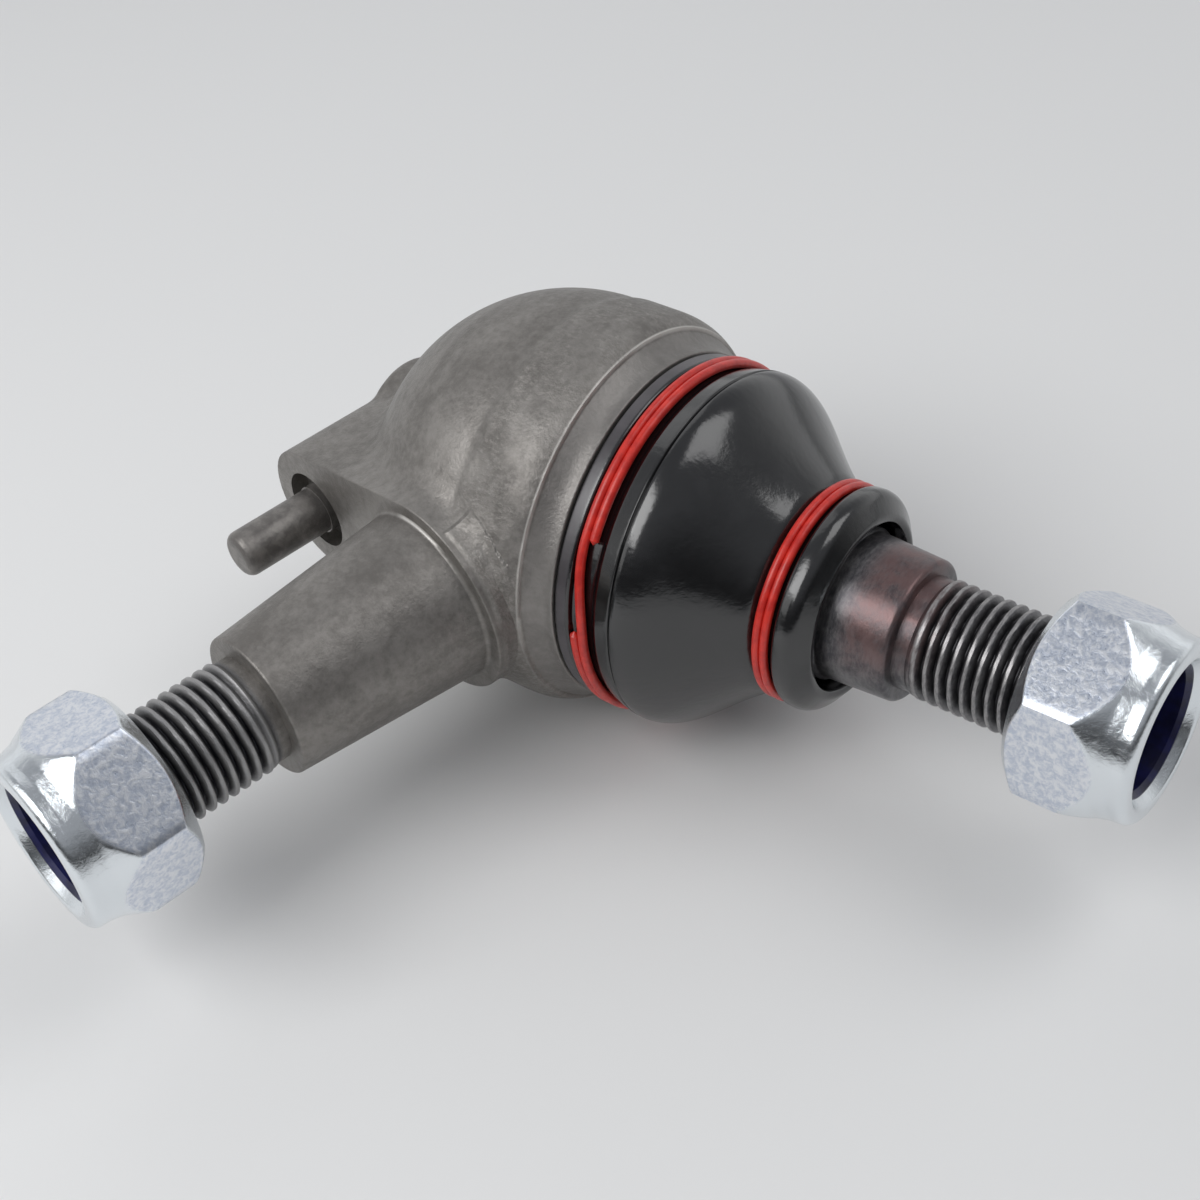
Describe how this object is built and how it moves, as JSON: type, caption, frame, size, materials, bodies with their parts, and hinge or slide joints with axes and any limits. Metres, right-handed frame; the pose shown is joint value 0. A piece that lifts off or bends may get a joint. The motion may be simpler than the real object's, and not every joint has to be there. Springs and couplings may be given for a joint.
{
  "type": "suspension ball joint",
  "caption": "Forged ball joint housing with a tapered shank and locating pin, a ball stud under a rubber dust boot with wire rings, and a locking nut on each thread.",
  "frame": {"origin": "centre of the ball, where the stud's axis meets the shank's axis", "axes": "+X along the stud towards its nut, the shank in the XY plane towards -Y, +Z square to both axes"},
  "size_m": [0.1121, 0.1028, 0.0496],
  "materials": {
    "forged_steel": "forged and blasted, satin, lightly oiled",
    "pin_steel": "ground, oiled",
    "seat_polymer": "moulded, greased",
    "ring_steel": "turned",
    "red_wire": "glossy red coating",
    "boot_rubber": "smooth, glossy with an oil film",
    "stud_steel": "turned and rolled thread, oiled",
    "insert_nylon": "dark blue nylon",
    "plated_steel": "bright zinc plate, pale blue, mottled on the flats"
  },
  "bodies": {
    "housing": {"housing": "forged_steel", "locating_pin": "pin_steel", "ball_seat": "seat_polymer", "retaining_ring": "ring_steel", "large_boot_ring": "red_wire"},
    "boot": {"dust_boot": "boot_rubber"},
    "boot_neck": {"small_boot_ring": "red_wire"},
    "stud": {"ball_stud": "stud_steel"},
    "stud_nut_carrier": {"stud_nut_insert": "insert_nylon"},
    "stud_nut": {"stud_nut": "plated_steel"},
    "shank_nut_carrier": {"shank_nut_insert": "insert_nylon"},
    "shank_nut": {"shank_nut": "plated_steel"}
  },
  "joints": [
    {"name": "swing_direction", "type": "hinge", "parent": "housing", "child": "boot", "pos_m": [0, 0, 0], "axis": [1, 0, 0], "continuous": true},
    {"name": "stud_tilt", "type": "hinge", "parent": "boot", "child": "boot_neck", "pos_m": [0, 0, 0], "axis": [0, 0, 1], "range_deg": [-22, 22], "deforming": ["dust_boot"]},
    {"name": "stud_spin", "type": "hinge", "parent": "boot_neck", "child": "stud", "pos_m": [0, 0, 0], "axis": [1, 0, 0], "continuous": true},
    {"name": "stud_nut_travel", "type": "slide", "parent": "stud", "child": "stud_nut_carrier", "axis": [1, 0, 0], "range_m": [-0.012, 0.00825]},
    {"name": "stud_nut_turn", "type": "hinge", "parent": "stud_nut_carrier", "child": "stud_nut", "pos_m": [0.0629, 0, 0], "axis": [1, 0, 0], "range_deg": [-2881, 1981]},
    {"name": "shank_nut_travel", "type": "slide", "parent": "housing", "child": "shank_nut_carrier", "axis": [-0.1908, -0.9816, 0], "range_m": [-0.012, 0.00825]},
    {"name": "shank_nut_turn", "type": "hinge", "parent": "shank_nut_carrier", "child": "shank_nut", "pos_m": [-0.01215, -0.06253, 0], "axis": [-0.1908, -0.9816, 0], "range_deg": [-2881, 1981]}
  ],
  "couplings": [
    {"joint": "stud_nut_turn", "follows": "stud_nut_travel", "rad_per_m": 4188.8},
    {"joint": "shank_nut_turn", "follows": "shank_nut_travel", "rad_per_m": 4188.8}
  ]
}
